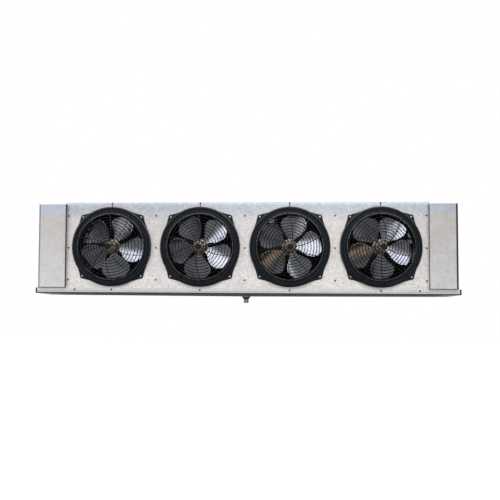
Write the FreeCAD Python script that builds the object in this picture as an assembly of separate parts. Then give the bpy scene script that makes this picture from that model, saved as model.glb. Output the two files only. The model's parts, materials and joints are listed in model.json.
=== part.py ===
import FreeCAD, Part
import math
import os

# Walk-in unit cooler with four fans, hung under a ceiling.
# X runs along the unit, to the right as seen from the fans. Air leaves towards -Y.
# The origin is the centre of the hanger holes, in the top panel's upper face.
# Lengths are millimetres.

V = FreeCAD.Vector

# Driving dimensions of the casing
fan_count = 4
fan_pitch = 565.0            # from one fan axis to the next
end_margin = 20.0            # casing beyond the outer fan bays
casing_depth = 440.0
sheet = 1.5                  # casing sheet
gap = 0.3                    # between pieces that move past each other
flange = 24.0                # bent edges of plates and dividers
lip_height = 12.0            # top panel's edge over the front and the rear
panel_tuck = 20.0            # front panel below the pan's rim

# End covers
cover_width = 168.0
cover_proud = 20.0           # front of a cover before the front panel
cover_lap = 7.0              # cover over the front panel's end
cover_drop = 12.0            # cover's top below the top panel
cover_sheet = 1.2
cover_bend = 12.0            # radius of the rounded front edge
cover_rim = 15.0             # bottom flange

# Fans
throat_radius = 205.0
ring_radius = 253.0
ring_plate = 4.0             # flat rim of the fan ring
bead_height = 18.0           # raised bead before the panel
bead_outer = 244.0
bead_inner = 236.0
bead_foot = 248.0
throat_depth = 40.0
throat_wall = 2.5
mouth_round = 7.0            # rounding where the ring's face turns into the throat
mouth_height = 14.0          # that edge before the panel
ear_square = 376.0           # side of the square of ear screws
ear_radius = 15.0
ear_blend = 60.0             # hollow fillet between ear and rim
orifice_clearance = 1.5      # hole in the panel round the throat

# Fan wheel
blade_count = 5
blade_radius = 200.0
blade_sheet = 1.6
blade_pitch = 22.0           # degrees, leading edge towards the coil
blade_camber = 300.0         # radius of the pressed curve
blade_root_radius = 52.0
blade_root_width = 50.0
blade_tip_width = 168.0
blade_corner = 46.0
blade_belly = 0.78           # width halfway up, as a share of the tip's
blade_foot = 12.0            # blade over the spider's edge
wheel_setback = 20.0         # blade middle behind the panel face
spider_radius = 48.0
spider_sheet = 3.0
spider_arm_width = 34.0
spider_reach = 92.0          # arm's end from the axis
rivet_radius = 4.5
rivet_head = 2.2
rivet_heights = [62.0, 82.0]
boss_radius = 22.0
boss_length = 30.0
shaft_radius = 8.0
shaft_length = 104.0
first_blade_turn = [62.0, 45.0, 5.5, 56.0]   # degrees, as the wheels happen to stand

# Guard
guard_height = 80.0          # disc before the panel
guard_seat_radius = 240.0    # outer wire, on the bead
guard_wire = 4.0
guard_rings = 8
guard_spokes = 10
guard_disc_radius = 18.5
guard_sweep = 24.0           # degrees that a spoke turns on its way out
guard_gap = 0.6              # spokes above the bead, less their slope
weld = 0.75                  # share of a wire that a spoke lies behind the rings

# Motor and its bar
motor_radius = 55.0
motor_length = 90.0
motor_nose = 14.0
motor_setback = 54.0         # motor's front behind the panel face
bore_clearance = 0.05
bar_height = 60.0
bar_depth = 20.0
bar_sheet = 2.0

# Coil
fin_pitch = 25.0
fin_sheet = 0.5
coil_front = 100.0           # from the middle plane to the fins
coil_drop = 31.0             # top face to the coil
coil_foot = 12.0             # coil to the seam above the drain pan
tube_rows = 10
tube_columns = 2
tube_pitch_z = 50.0
tube_pitch_y = 50.0
tube_radius = 8.0
tube_end = 14.0              # tube beyond the end plate
header_radius = 17.5
header_reach = 60.0          # from the end plate to the header's middle
stub_radius = 14.3
liquid_radius = 6.35
stub_end = 35.0              # line stubs behind the rear plate
swage_step = 1.6             # a line is this much larger in radius up to its stub
swage_length = 3.0
grommet_wall = 4.0
grommet_length = 9.0
grommet_groove = 2.0         # depth of the groove that holds the plate
distributor_radius = 15.0
liquid_drop = 60.0           # from the distributor to the line's level
liquid_bend = 16.0
line_spacing = 50.0          # between the two lines
distributor_length = 40.0
distributor_nose = 20.0
distributor_before = 20.0    # its middle before the fins
feeder_radius = 2.4
feeder_circle = 11.8         # radius of the circle on which the feeders leave
feeder_bend = 7.0
feeder_step = 7.0            # between neighbouring feeders
feeder_drop = 50.0           # coil's top to the lowest feeder's level
feeder_rise = 30.0           # straight run above the distributor

# Drain pan
pan_overhang = 20.0          # pan beyond each cover
pan_front_gap = 1.0          # pan's front wall before the panel
pan_rear = 226.0
pan_sheet = 1.2
pan_wall = 34.0
valley_end = 27.0            # floor's valley below the wall, at the ends
valley_middle = 32.0         # and at the drain
drain_bore = 13.0
drain_pipe_radius = 16.7
drain_flare_radius = 29.5
drain_flare_height = 18.0
drain_pipe_length = 24.0

# Hinges
knuckle_radius = 5.0
pin_radius = 3.0
pin_clearance = 0.08
knuckle_length = 26.0
leaf_width = 26.0
leaf_sheet = 2.0
cover_hinge_drops = [100.0, 440.0]
pan_hinge_places = [-1000.0, 0.0, 1000.0]
pan_axis_rise = 3.0          # pin above the pan's rim

# Hangers
hanger_inset = 100.0         # from the casing's ends to the rods
hanger_spacing_y = 340.0
hanger_hole_radius = 7.0
rail_width = 50.0
rail_height = 25.0
rail_sheet = 2.5

# Small pieces
conduit_radius = 11.1
conduit_drop = 72.0          # top face to the conduit hole
box_width = 60.0
box_depth = 110.0
box_height = 120.0
box_lid = 2.0
box_lid_lap = 4.0
box_drop = 41.5              # top face to the junction box
screw_across = 9.0
screw_height = 3.2
slot_width = 5.0
slot_height = 20.0
row_top = 197.0              # panel screw rows, from the fan axis
row_middle = -7.0
row_bottom = -210.0
pan_screw_drop = 10.0        # below the pan's rim
pan_screw_inset = 45.0       # end screws, from the outer bays' ends

# Sizes that follow
coil_height = tube_rows * tube_pitch_z
casing_height = coil_drop + coil_height + coil_foot
fan_axis_drop = coil_drop + coil_height / 2
half_centre = fan_count * fan_pitch / 2 + end_margin
front = -casing_depth / 2
rear = casing_depth / 2
fan_z = -fan_axis_drop
fan_xs = [(i - (fan_count - 1) / 2) * fan_pitch for i in range(fan_count)]
bay_xs = [(i - fan_count / 2) * fan_pitch for i in range(fan_count + 1)]
cover_inner = half_centre - cover_lap
cover_outer = half_centre + cover_width
cover_front = front - cover_proud
cover_top = -cover_drop
cover_bottom = -casing_height + 2.0
hanger_spacing_x = 2 * (half_centre - hanger_inset)
pan_half = cover_outer + pan_overhang
pan_front = front - pan_front_gap - pan_sheet
pan_top = -casing_height
coil_back = coil_front + tube_columns * tube_pitch_y
coil_top = -coil_drop
coil_bottom = coil_top - coil_height
feeder_level = coil_top - feeder_drop
ear = ear_square / 2
motor_front = front + motor_setback
motor_back = motor_front + motor_length
wheel_y = front + wheel_setback


def box(x0, x1, y0, y1, z0, z1):
    return Part.makeBox(x1 - x0, y1 - y0, z1 - z0, V(x0, y0, z0))


def rod(radius, start, along, length):
    return Part.makeCylinder(radius, length, V(*start), V(*along))


def turned(points, x):
    """Solid turned about a fan axis from points (radius, distance before the panel)."""
    corners = [V(x + r, front - h, fan_z) for r, h in points]
    face = Part.Face(Part.makePolygon(corners + corners[:1]))
    return face.revolve(V(x, front, fan_z), V(0, 1, 0), 360)


def mirrored(shape):
    return shape.mirror(V(0, 0, 0), V(1, 0, 0))


def save(name, shapes):
    solids = []
    for shape in shapes:
        solids.extend(shape.Solids)
    out = solids[0] if len(solids) == 1 else Part.makeCompound(solids)
    out.exportStep("parts/" + name + ".step")
    print(name, len(solids), round(sum(s.Volume for s in solids)))


def hex_head(x, z, face_y):
    """Screw head before a face that looks towards -Y."""
    corner = screw_across / math.sqrt(3)
    points = []
    for i in range(7):
        turn = math.radians(60 * i)
        points.append(V(x + corner * math.cos(turn), face_y, z + corner * math.sin(turn)))
    return Part.Face(Part.makePolygon(points)).extrude(V(0, -screw_height, 0))


# Casing

def hanger_holes():
    holes = []
    for sx in (-1, 1):
        for sy in (-1, 1):
            place = (sx * hanger_spacing_x / 2, sy * hanger_spacing_y / 2, -2 * rail_height)
            holes.append(rod(hanger_hole_radius, place, (0, 0, 1), 4 * rail_height))
    return holes


def front_panel():
    low = -casing_height - panel_tuck
    panel = box(-half_centre, half_centre, front, front + sheet, low, -sheet)
    for x in fan_xs:
        radius = throat_radius + throat_wall + orifice_clearance
        hole = rod(radius, (x, front - 1, fan_z), (0, 1, 0), sheet + 2)
        slot_low = fan_z + ring_radius
        slot = box(x - slot_width / 2, x + slot_width / 2, front - 1, front + sheet + 1,
                   slot_low, slot_low + slot_height - lip_height / 2)
        panel = panel.cut(hole).cut(slot)
    return panel


def top_panel():
    y0 = front - sheet
    y1 = rear + sheet
    top = box(-half_centre, half_centre, y0, y1, -sheet, 0)
    top = top.fuse(box(-half_centre, half_centre, y0, front, -lip_height, -sheet))
    top = top.fuse(box(-half_centre, half_centre, rear, y1, -lip_height, -sheet))
    return top.removeSplitter().cut(hanger_holes())


def end_plate():
    """Right end plate; the coil's tubes run through it."""
    x1 = half_centre
    plate = box(x1 - sheet, x1, front + sheet, rear, -casing_height, -sheet)
    inner = x1 - flange
    plate = plate.fuse(box(inner, x1 - sheet, front + sheet, front + 2 * sheet, -casing_height, -sheet))
    plate = plate.fuse(box(inner, x1 - sheet, rear - sheet, rear, -casing_height, -2 * sheet))
    return plate.removeSplitter().cut([tube_through(p) for p in tube_places()])


def divider(x):
    y0 = front + sheet
    plate = box(x - sheet / 2, x + sheet / 2, y0, coil_front - gap, -casing_height, -sheet)
    side = box(x - sheet / 2, x + flange, y0, y0 + sheet, -casing_height, -sheet)
    return plate.fuse(side).removeSplitter()


def hanger_rail():
    x = hanger_spacing_x / 2
    y0 = front + 2 * sheet
    y1 = coil_back
    rail = box(x - rail_width / 2, x + rail_width / 2, y0, y1, -sheet - rail_height, -sheet)
    inner = rail_width / 2 - rail_sheet
    rail = rail.cut(box(x - inner, x + inner, y0, y1, -sheet - rail_height, -sheet - rail_sheet))
    return rail.cut(hanger_holes())


def upper_coil_rail():
    """Angle that closes the space above the coil at the back."""
    x = half_centre - sheet
    y0 = coil_back + gap
    rail = box(-x, x, y0, y0 + sheet, coil_top + gap, -sheet)
    return rail.fuse(box(-x, x, y0 + sheet, rear, -2 * sheet, -sheet)).removeSplitter()


def lower_coil_rail():
    """Trough under the coil's back edge, with the upstand that carries the pan hinges."""
    x = half_centre - sheet
    y0 = coil_back + gap
    z0 = -casing_height
    rail = box(-x, x, y0, y0 + sheet, z0, coil_bottom - gap)
    rail = rail.fuse(box(-x, x, y0, rear - sheet, z0, z0 + sheet))
    return rail.fuse(box(-x, x, rear - 2 * sheet, rear - sheet, z0, z0 + flange)).removeSplitter()


def rear_plate():
    """Rear plate of the right compartment, before its holes."""
    x1 = cover_outer - cover_sheet - gap
    plate = box(half_centre, x1, rear - sheet, rear, cover_bottom, cover_top - cover_sheet - gap)
    side = box(half_centre, half_centre + sheet, rear - flange, rear - sheet,
               cover_bottom, cover_top - cover_sheet - gap)
    return plate.fuse(side).removeSplitter()


# Coil

def tube_places():
    places = []
    for i in range(tube_columns):
        for j in range(tube_rows):
            places.append((coil_front + (i + 0.5) * tube_pitch_y, coil_top - (j + 0.5) * tube_pitch_z))
    return places


def tube_through(place):
    y, z = place
    reach = half_centre + tube_end
    return rod(tube_radius, (-reach, y, z), (1, 0, 0), 2 * reach)


def coil_fins():
    count = int(2 * (half_centre - sheet - fin_pitch / 2) / fin_pitch)
    start = -(count - 1) * fin_pitch / 2
    fins = []
    for i in range(count):
        x = start + i * fin_pitch
        fins.append(box(x, x + fin_sheet, coil_front, coil_back, coil_bottom, coil_top))
    return fins


# Fans

def ear_outline(x):
    """Rim of the ring with its four ears, all arcs, as a closed wire in the panel's face."""
    reach = math.hypot(ear, ear)
    a = ring_radius + ear_blend
    b = ear_radius + ear_blend
    spread = math.acos((a * a + reach * reach - b * b) / (2 * a * reach))
    edges = []

    def at(radius, turn, cx=0.0, cz=0.0):
        return V(x + cx + radius * math.cos(turn), front, fan_z + cz + radius * math.sin(turn))

    for i in range(4):
        mid = math.radians(45 + 90 * i)
        ex = reach * math.cos(mid)
        ez = reach * math.sin(mid)
        sides = []
        for s in (-1, 1):
            turn = mid + s * spread
            fx = a * math.cos(turn)
            fz = a * math.sin(turn)
            on_rim = turn + math.pi
            on_ear = math.atan2(ez - fz, ex - fx)
            half = on_rim + (math.remainder(on_ear - on_rim, 2 * math.pi)) / 2
            sides.append([at(ear_blend, t, fx, fz) for t in (on_rim, half, on_ear)])
        edges.append(Part.Arc(*sides[0]).toShape())
        edges.append(Part.Arc(sides[0][2], at(ear_radius, mid, ex, ez), sides[1][2]).toShape())
        edges.append(Part.Arc(sides[1][2], sides[1][1], sides[1][0]).toShape())
        middle = mid + math.pi / 4
        follow = mid + math.pi / 2 - spread
        edges.append(Part.Arc(sides[1][0], at(ring_radius, middle), at(ring_radius, follow)).toShape())
    return Part.Wire(edges)


def fan_ring():
    """Moulded ring: eared rim, raised bead, dished face and throat, hollow towards the panel."""
    rim = Part.Face(ear_outline(0.0)).extrude(V(0, -ring_plate, 0))
    rim = rim.cut(rod(bead_outer, (0, front + 1, fan_z), (0, -1, 0), 2 * ring_plate))
    outer = throat_radius + throat_wall
    lip = throat_radius + mouth_round
    low = mouth_height - mouth_round
    slant = mouth_round * math.sqrt(0.5)
    face = [(outer, 0), (bead_foot, 0), (bead_foot, ring_plate), (bead_outer, bead_height),
            (bead_inner, bead_height), (lip, mouth_height)]
    mouth = [(lip, mouth_height), (lip - slant, low + slant), (throat_radius, low)]
    tail = [(throat_radius, low), (throat_radius, -throat_depth), (outer, -throat_depth), (outer, 0)]

    def flat(p):
        return V(p[0], front - p[1], fan_z)

    edges = [Part.makeLine(flat(p), flat(q)) for p, q in zip(face, face[1:])]
    edges.append(Part.Arc(*[flat(p) for p in mouth]).toShape())
    edges.extend(Part.makeLine(flat(p), flat(q)) for p, q in zip(tail, tail[1:]))
    body = Part.Face(Part.Wire(edges)).revolve(V(0, front, fan_z), V(0, 1, 0), 360)
    w = throat_wall
    hollow = turned([(outer, -w), (bead_outer, -w), (bead_outer, ring_plate),
                     (bead_outer - w, bead_height - w), (bead_inner, bead_height - w),
                     (lip, mouth_height - w), (outer, low)], 0.0)
    return rim.fuse(body.cut(hollow)).removeSplitter()


def dome(radius, turn, back=0.0):
    """Point on the guard's dome, a ball through its disc and the outer wire over the bead."""
    rise = guard_height - bead_height - guard_gap - guard_wire * (weld + 0.5)
    ball = (guard_seat_radius ** 2 + rise ** 2) / (2 * rise)
    height = guard_height - ball + math.sqrt(ball * ball - radius * radius) - back
    return V(radius * math.cos(turn), front - height, fan_z + radius * math.sin(turn))


def guard_spoke(turn):
    """Square wire along an arc on the dome, behind the rings."""
    radii = (guard_disc_radius - guard_wire, guard_seat_radius / 2, guard_seat_radius)
    sweep = math.radians(guard_sweep)
    behind = guard_wire * weld
    points = [dome(r, turn + sweep * i / 2, behind) for i, r in enumerate(radii)]
    path = Part.Wire([Part.Arc(*points).toShape()])
    start = points[0]
    along = path.Edges[0].tangentAt(path.Edges[0].FirstParameter)
    out = V(0, -1, 0)
    side = along.cross(out).normalize()
    up = side.cross(along).normalize()
    h = guard_wire / 2
    corners = [start + side * a + up * b for a, b in ((-h, -h), (h, -h), (h, h), (-h, h))]
    profile = Part.Wire(Part.makePolygon(corners + corners[:1]).Edges)
    return path.makePipeShell([profile], True, True)


def fan_guard():
    w = guard_wire
    pieces = []
    for i in range(1, guard_rings + 1):
        r = guard_seat_radius * i / guard_rings - (w / 2 if i == guard_rings else 0)
        h = front - dome(r, 0.0).y
        pieces.append(turned([(r - w / 2, h - w / 2), (r + w / 2, h - w / 2), (r + w / 2, h + w / 2),
                              (r - w / 2, h + w / 2)], 0.0))
    for i in range(guard_spokes):
        pieces.append(guard_spoke(2 * math.pi * i / guard_spokes))
    disc = rod(guard_disc_radius, (0, front - guard_height + guard_wire, fan_z), (0, -1, 0), guard_wire)
    return disc.multiFuse(pieces)


def blade_outline(height):
    """Petal seen along the fan axis, root at the bottom, as a tall prism."""
    tip_half = blade_tip_width / 2
    shoulder = math.sqrt(blade_radius ** 2 - tip_half ** 2)
    root = blade_root_width / 2
    low = math.sqrt(blade_root_radius ** 2 - root ** 2) - blade_foot
    y = -height / 2
    belly = tip_half * blade_belly
    left = Part.Arc(V(-root, y, low), V(-belly, y, blade_radius / 2), V(-tip_half, y, shoulder)).toShape()
    tip = Part.Arc(V(-tip_half, y, shoulder), V(0, y, blade_radius), V(tip_half, y, shoulder)).toShape()
    right = Part.Arc(V(tip_half, y, shoulder), V(belly, y, blade_radius / 2), V(root, y, low)).toShape()
    foot = Part.makeLine(V(root, y, low), V(-root, y, low))
    prism = Part.Face(Part.Wire([left, tip, right, foot])).extrude(V(0, height, 0))
    corners = []
    for edge in prism.Edges:
        b = edge.BoundBox
        if b.YLength > height - 1 and abs(b.Center.z - shoulder) < 1:
            corners.append(edge)
    return prism.makeFillet(blade_corner, corners)


def pitched(shape):
    shape.rotate(V(0, 0, 0), V(0, 0, 1), -blade_pitch)
    return shape


def fan_blade():
    """One pressed blade, hollow towards the panel side, cut to the petal outline."""
    outer = rod(blade_camber, (0, -blade_camber, 0), (0, 0, 1), 2 * blade_radius)
    inner = rod(blade_camber - blade_sheet, (0, -blade_camber, 0), (0, 0, 1), 2 * blade_radius)
    near = box(-blade_radius, blade_radius, -blade_camber / 2, 1, 0, 2 * blade_radius)
    return pitched(outer.cut(inner).common(near)).common(blade_outline(blade_radius))


def spider_arm():
    """Arm behind one blade, with the rivets that hold the blade on it."""
    half = spider_arm_width / 2
    arm = box(-half, half, -blade_sheet / 2, spider_sheet, boss_radius / 2, spider_reach)
    for height in rivet_heights:
        arm = arm.fuse(rod(rivet_radius, (0, -blade_sheet - rivet_head, height), (0, 1, 0),
                           blade_sheet + rivet_head + spider_sheet))
    return pitched(arm)


def fan_wheel():
    """Blades riveted to the arms of a pressed spider with its boss, one blade straight up."""
    wheel = rod(spider_radius, (0, -spider_sheet / 2, 0), (0, 1, 0), spider_sheet)
    wheel = wheel.fuse(rod(boss_radius, (0, -boss_length / 2, 0), (0, 1, 0), boss_length))
    blade = fan_blade().fuse(spider_arm())
    for i in range(blade_count):
        copy = blade.copy()
        copy.rotate(V(0, 0, 0), V(0, 1, 0), 360.0 * i / blade_count)
        wheel = wheel.fuse(copy)
    return wheel.cut(rod(shaft_radius, (0, -boss_length, 0), (0, 1, 0), 2 * boss_length))


def placed_wheel(wheel, index):
    copy = wheel.copy()
    copy.rotate(V(0, 0, 0), V(0, 1, 0), 90 - first_blade_turn[index])
    copy.translate(V(fan_xs[index], wheel_y, fan_z))
    return copy


def fan_shaft(x):
    return rod(shaft_radius, (x, wheel_y - boss_length / 2, fan_z), (0, 1, 0), shaft_length)


def fan_motor(x):
    body = rod(motor_radius, (x, motor_front + motor_nose, fan_z), (0, 1, 0), motor_length - motor_nose)
    nose = rod(motor_radius * 0.6, (x, motor_front, fan_z), (0, 1, 0), motor_nose)
    depth = wheel_y - boss_length / 2 + shaft_length + 1 - motor_front
    bore = rod(shaft_radius + bore_clearance, (x, motor_front, fan_z), (0, 1, 0), depth)
    return body.fuse(nose).cut(bore)


def motor_bar(index):
    """Channel across one fan bay that the motor is bolted to."""
    x0 = bay_xs[index] + sheet / 2
    x1 = bay_xs[index + 1] - sheet / 2
    if index == 0:
        x0 = -half_centre + sheet
    if index == fan_count - 1:
        x1 = half_centre - sheet
    z0 = fan_z - bar_height / 2
    bar = box(x0, x1, motor_back, motor_back + bar_depth, z0, z0 + bar_height)
    hollow = box(x0, x1, motor_back + bar_sheet, motor_back + bar_depth,
                 z0 + bar_sheet, z0 + bar_height - bar_sheet)
    return bar.cut(hollow)


# Coil connections, in the end compartments

def coil_tubes():
    return [tube_through(place) for place in tube_places()]


def return_bends():
    """Half turns that join the two tubes of each row beyond the left end plate."""
    bends = []
    reach = -half_centre - tube_end
    middle = coil_front + tube_pitch_y
    for j in range(tube_rows):
        z = coil_top - (j + 0.5) * tube_pitch_z
        ring = Part.makeTorus(tube_pitch_y / 2, tube_radius, V(reach, middle, z), V(0, 0, 1))
        half = box(reach - tube_pitch_y, reach, middle - tube_pitch_y, middle + tube_pitch_y,
                   z - 2 * tube_radius, z + 2 * tube_radius)
        bends.append(ring.common(half))
    return bends


def suction_header():
    """Upright pipe that gathers the rear tubes, with the line's stub through the rear plate."""
    x = half_centre + header_reach
    y = coil_front + 1.5 * tube_pitch_y
    low = coil_bottom + tube_pitch_z / 4
    high = coil_top - tube_pitch_z / 4
    pipe = rod(header_radius, (x, y, low), (0, 0, 1), high - low)
    for place in tube_places()[tube_rows:]:
        start = half_centre + tube_end
        pipe = pipe.fuse(rod(tube_radius, (start, place[0], place[1]), (1, 0, 0), x - start))
    root = stub_radius + swage_step
    pipe = pipe.fuse(rod(root, (x, y, stub_z()), (0, 1, 0), stub_start() - y))
    return pipe.fuse(swaged_stub(x, stub_z(), stub_radius))


def stub_start():
    """Depth at which the lines leave their grommets."""
    return rear - sheet / 2 + grommet_length / 2


def swaged_stub(x, z, radius):
    """End of a line behind its grommet: a short cone and the plain stub that a coupling fits."""
    y = stub_start()
    cone = Part.makeCone(radius + swage_step, radius, swage_length, V(x, y, z), V(0, 1, 0))
    return cone.fuse(rod(radius, (x, y + swage_length, z), (0, 1, 0), rear + stub_end - y - swage_length))


def stub_z():
    return coil_bottom + tube_pitch_z


def liquid_place():
    """Middle of the distributor: x, y and z."""
    z = feeder_level - feeder_rise - distributor_length
    return half_centre + header_reach, coil_front - distributor_before, z


def bent_pipe(points, bend, radius):
    """Round pipe along straight runs joined by tangent arcs."""
    corners = [V(*p) for p in points]
    edges = []
    last = corners[0]
    for before, corner, after in zip(corners, corners[1:], corners[2:]):
        back = (before - corner).normalize()
        ahead = (after - corner).normalize()
        half = back.getAngle(ahead) / 2
        cut = bend / math.tan(half)
        start = corner + back * cut
        end = corner + ahead * cut
        inward = (back + ahead).normalize()
        middle = corner + inward * (bend / math.sin(half) - bend)
        edges.append(Part.makeLine(last, start))
        edges.append(Part.Arc(start, middle, end).toShape())
        last = end
    edges.append(Part.makeLine(last, corners[-1]))
    path = Part.Wire(edges)
    circle = Part.Circle(corners[0], corners[1] - corners[0], radius).toShape()
    return path.makePipeShell([Part.Wire([circle])], True, True)


def distributor():
    """Brass body that shares the liquid among the rows, with the line's stub."""
    x, y, z = liquid_place()
    r = distributor_radius
    top = z + distributor_length
    low = z - distributor_nose
    root = liquid_radius + swage_step
    corners = [V(x, y, low), V(x + root, y, low), V(x + r, y, z), V(x + r, y, top), V(x, y, top)]
    body = Part.Face(Part.makePolygon(corners + corners[:1])).revolve(V(x, y, z), V(0, 0, 1), 360)
    turn_z = z - liquid_drop
    route = [(x, y, z - distributor_nose / 2), (x, y, turn_z), (liquid_outlet_x(), y, turn_z),
             (liquid_outlet_x(), stub_start(), turn_z)]
    pipe = bent_pipe(route, liquid_bend, root).fuse(swaged_stub(liquid_outlet_x(), turn_z, liquid_radius))
    return body.fuse(pipe).removeSplitter()


def liquid_outlet_x():
    return half_centre + header_reach + line_spacing


def feeder_tubes():
    """Thin tubes from the distributor's top, each down its own lane to the end of a front tube."""
    x, y, z = liquid_place()
    spots = []
    for j in range(tube_rows):
        turn = 2 * math.pi * (j + 0.5) / tube_rows
        spots.append((x + feeder_circle * math.cos(turn), y + feeder_circle * math.sin(turn)))
    spots.sort(key=lambda spot: (-round(spot[1], 3), spot[0]))
    tubes = []
    for j, place in enumerate(tube_places()[:tube_rows]):
        px, py = spots[j]
        level = feeder_level + j * feeder_step
        lane = half_centre + tube_end + 2 * feeder_bend + j * feeder_step
        route = [(px, py, z + distributor_length), (px, py, level), (lane, place[0], level),
                 (lane, place[0], place[1]), (half_centre + tube_end, place[0], place[1])]
        tubes.append(bent_pipe(route, feeder_bend, feeder_radius))
    return tubes


def grommet(x, z, radius):
    """Rubber ring round a line in the right rear plate, with a collar on each face."""
    outer = radius + grommet_wall
    y = rear - sheet / 2
    body = rod(outer, (x, y - grommet_length / 2, z), (0, 1, 0), grommet_length)
    body = body.cut(rod(radius, (x, y - grommet_length, z), (0, 1, 0), 2 * grommet_length))
    groove = rod(outer + 1, (x, rear - sheet, z), (0, 1, 0), sheet)
    groove = groove.cut(rod(outer - grommet_groove, (x, rear - sheet, z), (0, 1, 0), sheet))
    return body.cut(groove)


def line_places():
    return [(half_centre + header_reach, stub_z(), stub_radius + swage_step),
            (liquid_outlet_x(), liquid_place()[2] - liquid_drop, liquid_radius + swage_step)]


def right_rear_plate():
    plate = rear_plate()
    for x, z, radius in line_places():
        hole = rod(radius + grommet_wall - grommet_groove, (x, rear - 2 * sheet, z), (0, 1, 0), 3 * sheet)
        plate = plate.cut(hole)
    return plate


def left_rear_plate():
    plate = mirrored(rear_plate())
    x = -half_centre - cover_width / 2
    return plate.cut(rod(conduit_radius, (x, rear - 2 * sheet, -conduit_drop), (0, 1, 0), 3 * sheet))


def junction_box():
    x = -half_centre
    z1 = -box_drop
    return box(x - box_width, x, -box_depth / 2, box_depth / 2, z1 - box_height, z1)


def junction_box_lid():
    x = -half_centre - box_width
    z1 = -box_drop
    r = box_lid_lap
    return box(x - box_lid, x, -box_depth / 2 - r, box_depth / 2 + r, z1 - box_height - r, z1 + r)


# End covers

def right_cover():
    """Wrap-round cover: front, outer side and top, with a return edge and a bottom rim."""
    outer = box(cover_inner, cover_outer, cover_front, rear - sheet - gap, cover_bottom, cover_top)
    edges = []
    for edge in outer.Edges:
        b = edge.BoundBox
        if b.ZLength > 100 and b.XMin > cover_outer - 1 and b.YMax < cover_front + 1:
            edges.append(edge)
    outer = outer.makeFillet(cover_bend, edges)
    t = cover_sheet
    inner = box(cover_inner + t, cover_outer - t, cover_front + t, rear, cover_bottom + t, cover_top - t)
    edges = []
    for edge in inner.Edges:
        b = edge.BoundBox
        if b.ZLength > 100 and b.XMin > cover_outer - t - 1 and b.YMax < cover_front + t + 1:
            edges.append(edge)
    inner = inner.makeFillet(cover_bend - t, edges)
    shell = outer.cut(inner)
    inside = front - gap
    shell = shell.cut(box(cover_inner - 1, half_centre + gap, inside, rear + 1,
                          cover_bottom - 1, cover_top + 1))
    rim = cover_outer - cover_rim
    shell = shell.cut(box(cover_inner + t, rim, cover_front + cover_rim, rear + 1,
                          cover_bottom - 1, cover_bottom + t + 1))
    return shell


# Hinges of the end covers: pin upright, at the rear outer corner

def cover_axis():
    return cover_outer + knuckle_radius, rear + knuckle_radius


def fixed_cover_hinges():
    """Lower knuckle with its pin, on the rear plate."""
    x, y = cover_axis()
    hinges = []
    for drop in cover_hinge_drops:
        knuckle = rod(knuckle_radius, (x, y, -drop - knuckle_length), (0, 0, 1), knuckle_length)
        pin = rod(pin_radius, (x, y, -drop), (0, 0, 1), knuckle_length)
        x0 = cover_outer - cover_sheet - gap - leaf_width
        leaf = box(x0, x, rear, rear + leaf_sheet, -drop - knuckle_length, -drop)
        hinges.append(knuckle.fuse(leaf).fuse(pin).removeSplitter())
    return hinges


def cover_leaves():
    """Upper knuckle, on the cover's outer side."""
    x, y = cover_axis()
    leaves = []
    for drop in cover_hinge_drops:
        low = -drop + gap
        knuckle = rod(knuckle_radius, (x, y, low), (0, 0, 1), knuckle_length)
        y0 = rear - sheet - gap - leaf_width
        leaf = box(cover_outer, cover_outer + leaf_sheet, y0, y, low, low + knuckle_length)
        bore = rod(pin_radius + pin_clearance, (x, y, low - 1), (0, 0, 1), knuckle_length + 2)
        leaves.append(knuckle.fuse(leaf).cut(bore).removeSplitter())
    return leaves


# Drain pan

def pan_section(x, inset, valley):
    """Closed pentagon of the pan across its length; inset is the sheet's thickness or none."""
    low = pan_top - pan_wall + inset
    deep = low - valley
    rim = pan_top + (10 * inset)
    points = [V(x, pan_front + inset, rim), V(x, pan_front + inset, low), V(x, 0, deep),
              V(x, pan_rear - inset, low), V(x, pan_rear - inset, rim)]
    return Part.makePolygon(points + points[:1])


def pan_body(inset):
    reach = pan_half - inset
    shapes = []
    for side in (-1, 1):
        sections = [pan_section(side * reach, inset, valley_end), pan_section(0, inset, valley_middle)]
        shapes.append(Part.makeLoft(sections, True, True))
    return shapes[0].fuse(shapes[1])


def drain_pan():
    pan = pan_body(0).cut(pan_body(pan_sheet))
    return pan.cut(rod(drain_bore, (0, 0, pan_top - 2 * pan_wall), (0, 0, 1), 2 * pan_wall))


def drain_fitting():
    """Flared fitting that follows the floor's underside, with its pipe."""
    top = pan_top - pan_wall - valley_middle
    flare = Part.makeCone(drain_flare_radius, drain_pipe_radius, drain_flare_height,
                          V(0, 0, top), V(0, 0, -1))
    collar = rod(drain_flare_radius, (0, 0, top), (0, 0, 1), 6.0)
    pipe = rod(drain_pipe_radius, (0, 0, top - drain_flare_height - drain_pipe_length), (0, 0, 1),
               drain_pipe_length)
    whole = collar.fuse(flare).fuse(pipe).cut(pan_body(0))
    reach = 2 * (drain_flare_height + drain_pipe_length)
    return whole.cut(rod(drain_bore, (0, 0, top - reach), (0, 0, 1), 2 * reach)).removeSplitter()


# Hinges of the drain pan: pin along the unit, at the rear

def pan_axis():
    return pan_rear + knuckle_radius, pan_top + pan_axis_rise


def fixed_pan_hinges():
    """Knuckle and pin on a leaf that hangs from the casing's rear edge."""
    y, z = pan_axis()
    hinges = []
    for x in pan_hinge_places:
        knuckle = rod(knuckle_radius, (x - knuckle_length, y, z), (1, 0, 0), knuckle_length)
        pin = rod(pin_radius, (x, y, z), (1, 0, 0), knuckle_length)
        seat = rear - sheet
        low = z + knuckle_radius - leaf_sheet
        web = box(x - knuckle_length, x, seat, y, low, low + leaf_sheet)
        leaf = box(x - knuckle_length, x, seat, seat + leaf_sheet, low, pan_top + flange)
        hinges.append(knuckle.fuse(web).fuse(leaf).fuse(pin).removeSplitter())
    return hinges


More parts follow.
